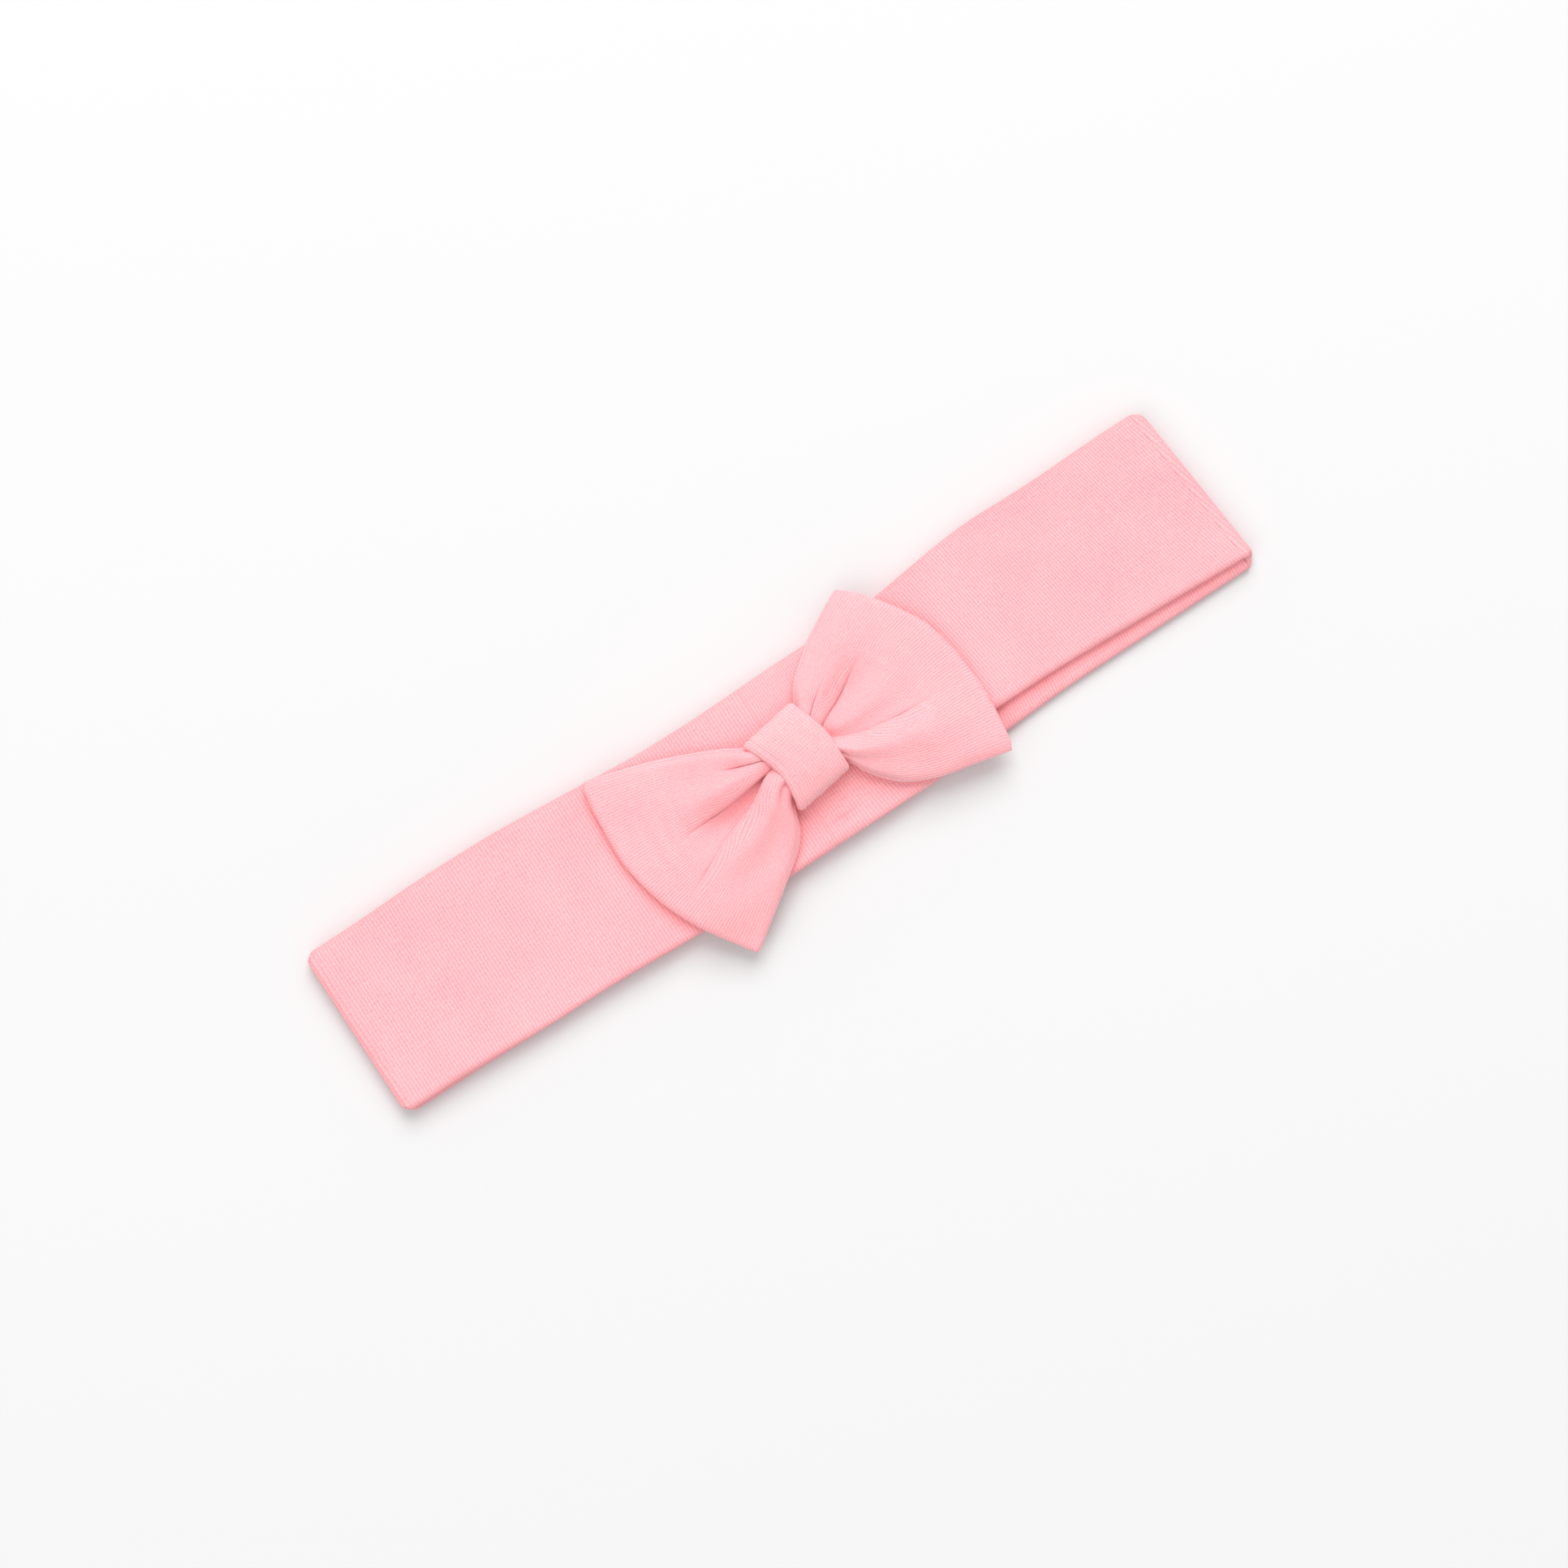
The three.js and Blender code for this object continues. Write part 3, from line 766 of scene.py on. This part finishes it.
def on_bow(u, v):
    cos, sin = math.cos(bow_turn), math.sin(bow_turn)
    return knot_centre[0] + u * cos - v * sin, knot_centre[1] + u * sin + v * cos


def knot_path(angle):
    """The middle of the wrapped strip: across and up, with the outward direction."""
    reach = KNOT_SPAN_V - STRIP_THICK / 2
    rise = (knot_top - knot_base - STRIP_THICK) / 2
    cos, sin = np.cos(angle), np.sin(angle)
    size = (abs(cos) ** KNOT_SQUARE + abs(sin) ** KNOT_SQUARE) ** (-1 / KNOT_SQUARE)
    v = reach * cos * size
    z = (knot_top + knot_base) / 2 + rise * sin * size
    return v, z


def knot_place(along, rows):
    bar, out, rise = stadium(row_share(rows, KNOT_ROWS))
    angle = -math.pi / 2 + 2 * math.pi * along
    v, z = knot_path(angle)
    v_next, z_next = knot_path(angle + 0.001)
    tangent = np.hypot(v_next - v, z_next - z)
    nv, nz = (z_next - z) / tangent, -(v_next - v) / tangent
    top = np.clip(np.sin(angle), 0, 1)
    widen = 1.0 + SIDE_WIDEN * np.cos(angle) ** 2
    u = bar * (KNOT_SPAN_U - STRIP_THICK / 2) * widen + out * STRIP_THICK / 2
    rib = rib_height(u, BOW_RIB_RELIEF)
    hem = -HEM_GROOVE * bump_at(u, -KNOT_SPAN_U + HEM_FROM_EDGE, HEM_WIDTH)
    ripple = KNOT_RIPPLE * np.sin(u * 1.7 + 2 * v / 5)
    grow = rise * STRIP_THICK / 2 + np.clip(rise, 0, 1) * (rib + hem + ripple)
    hug = -EDGE_HUG * abs(u / KNOT_SPAN_U) ** 3 * top
    lean = KNOT_LEAN * top ** 0.7 * np.cos(v / KNOT_SPAN_V * math.pi / 2)
    x, y = on_bow(u + lean, v + nv * grow)
    return x, y, z + nz * grow + hug


def knot_knit(along, rows):
    bar, out, rise = stadium(row_share(rows, KNOT_ROWS))
    return bar * KNOT_SPAN_U + out, along * WRAP_LENGTH / KNOT_STRETCH + 0 * bar


knot_cloth = cloth_grid("knot_strip", KNOT_CELLS, sum(KNOT_ROWS), knot_place, knot_knit, stretched_rib)
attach(knot_cloth, "front_centre")
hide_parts("knot_outer_ply", "knot_inner_ply")

# %% [markdown]
# ## The gathered waist
# Inside the knot the bow is squeezed into a bundle of pleats. Only its ends could ever be glimpsed, so it
# is a short bar whose section is an oval with a wavy outline.

# %% Waist
waist_low, waist_high = box_mm("bow_waist")
waist_middle = (waist_low + waist_high) / 2
WAIST_HALF_V = 5.2
WAIST_LENGTH = 10.0
WAIST_WRAP = 38.0
WAIST_WAVES, WAVE_CUT, MIDDLE_PINCH = 9, 0.06, 0.1


def waist_place(along, rows):
    angle = 2 * math.pi * rows
    fat = 1 - WAVE_CUT * np.abs(np.sin(WAIST_WAVES * angle))
    swell = 1 - MIDDLE_PINCH * np.cos(math.pi * (along - 0.5))
    v = WAIST_HALF_V * np.cos(angle) * fat * swell
    z = waist_middle[2] + (waist_high[2] - waist_low[2]) / 2 * np.sin(angle) * fat * swell
    x, y = on_bow((along - 0.5) * WAIST_LENGTH, v)
    return x, y, z


waist_cloth = cloth_grid("bow_waist_gather", 20, 144, waist_place,
                         lambda a, r: (r * WAIST_WRAP, a * WAIST_LENGTH), cotton_rib)
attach(waist_cloth, "front_centre")
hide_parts("bow_waist")

# %% [markdown]
# ## Sewing thread
# The seams are sewn with spun polyester thread dyed to match. Its two plies twist round each other, which
# shows as fine slanting stripes: a bump, and a darker band colour that is painted shade where the plies
# meet. The three threads keep their CAD shape: two run in zigzag stitches, and the gathering thread's
# turns are a single ring.

# %% Thread material
spun_thread, thread_tree = new_material("spun_polyester_sewing_thread")
thread_place = add_node(thread_tree, "ShaderNodeTexCoord").outputs["Object"]
twist = add_node(thread_tree, "ShaderNodeTexWave", {"wave_type": "BANDS", "bands_direction": "DIAGONAL"},
                 Vector=thread_place, Scale=900.0, Distortion=0.4)
thread_colour = add_node(thread_tree, "ShaderNodeMix", {"data_type": "RGBA"})
thread_tree.links.new(twist.outputs[1], thread_colour.inputs[0])
# The darker stripe colour is painted shade where the two plies meet.
thread_colour.inputs[6].default_value = linear("#e58c9b")
thread_colour.inputs[7].default_value = linear("#f9b9c1")
twist_bump = add_node(thread_tree, "ShaderNodeBump", Strength=0.6, Distance=0.05 * MM,
                      Height=twist.outputs[1])
thread_shader = add_node(thread_tree, "ShaderNodeBsdfPrincipled", Base_Color=thread_colour.outputs[2],
                         Roughness=0.55, Normal=twist_bump.outputs[0])
thread_out = add_node(thread_tree, "ShaderNodeOutputMaterial")
thread_tree.links.new(thread_shader.outputs[0], thread_out.inputs[0])
for node_name in ("join_thread", "gather_thread", "tack_thread"):
    thread_object = frame["nodes"][node_name]
    thread_object.data.materials.clear()
    thread_object.data.materials.append(spun_thread)
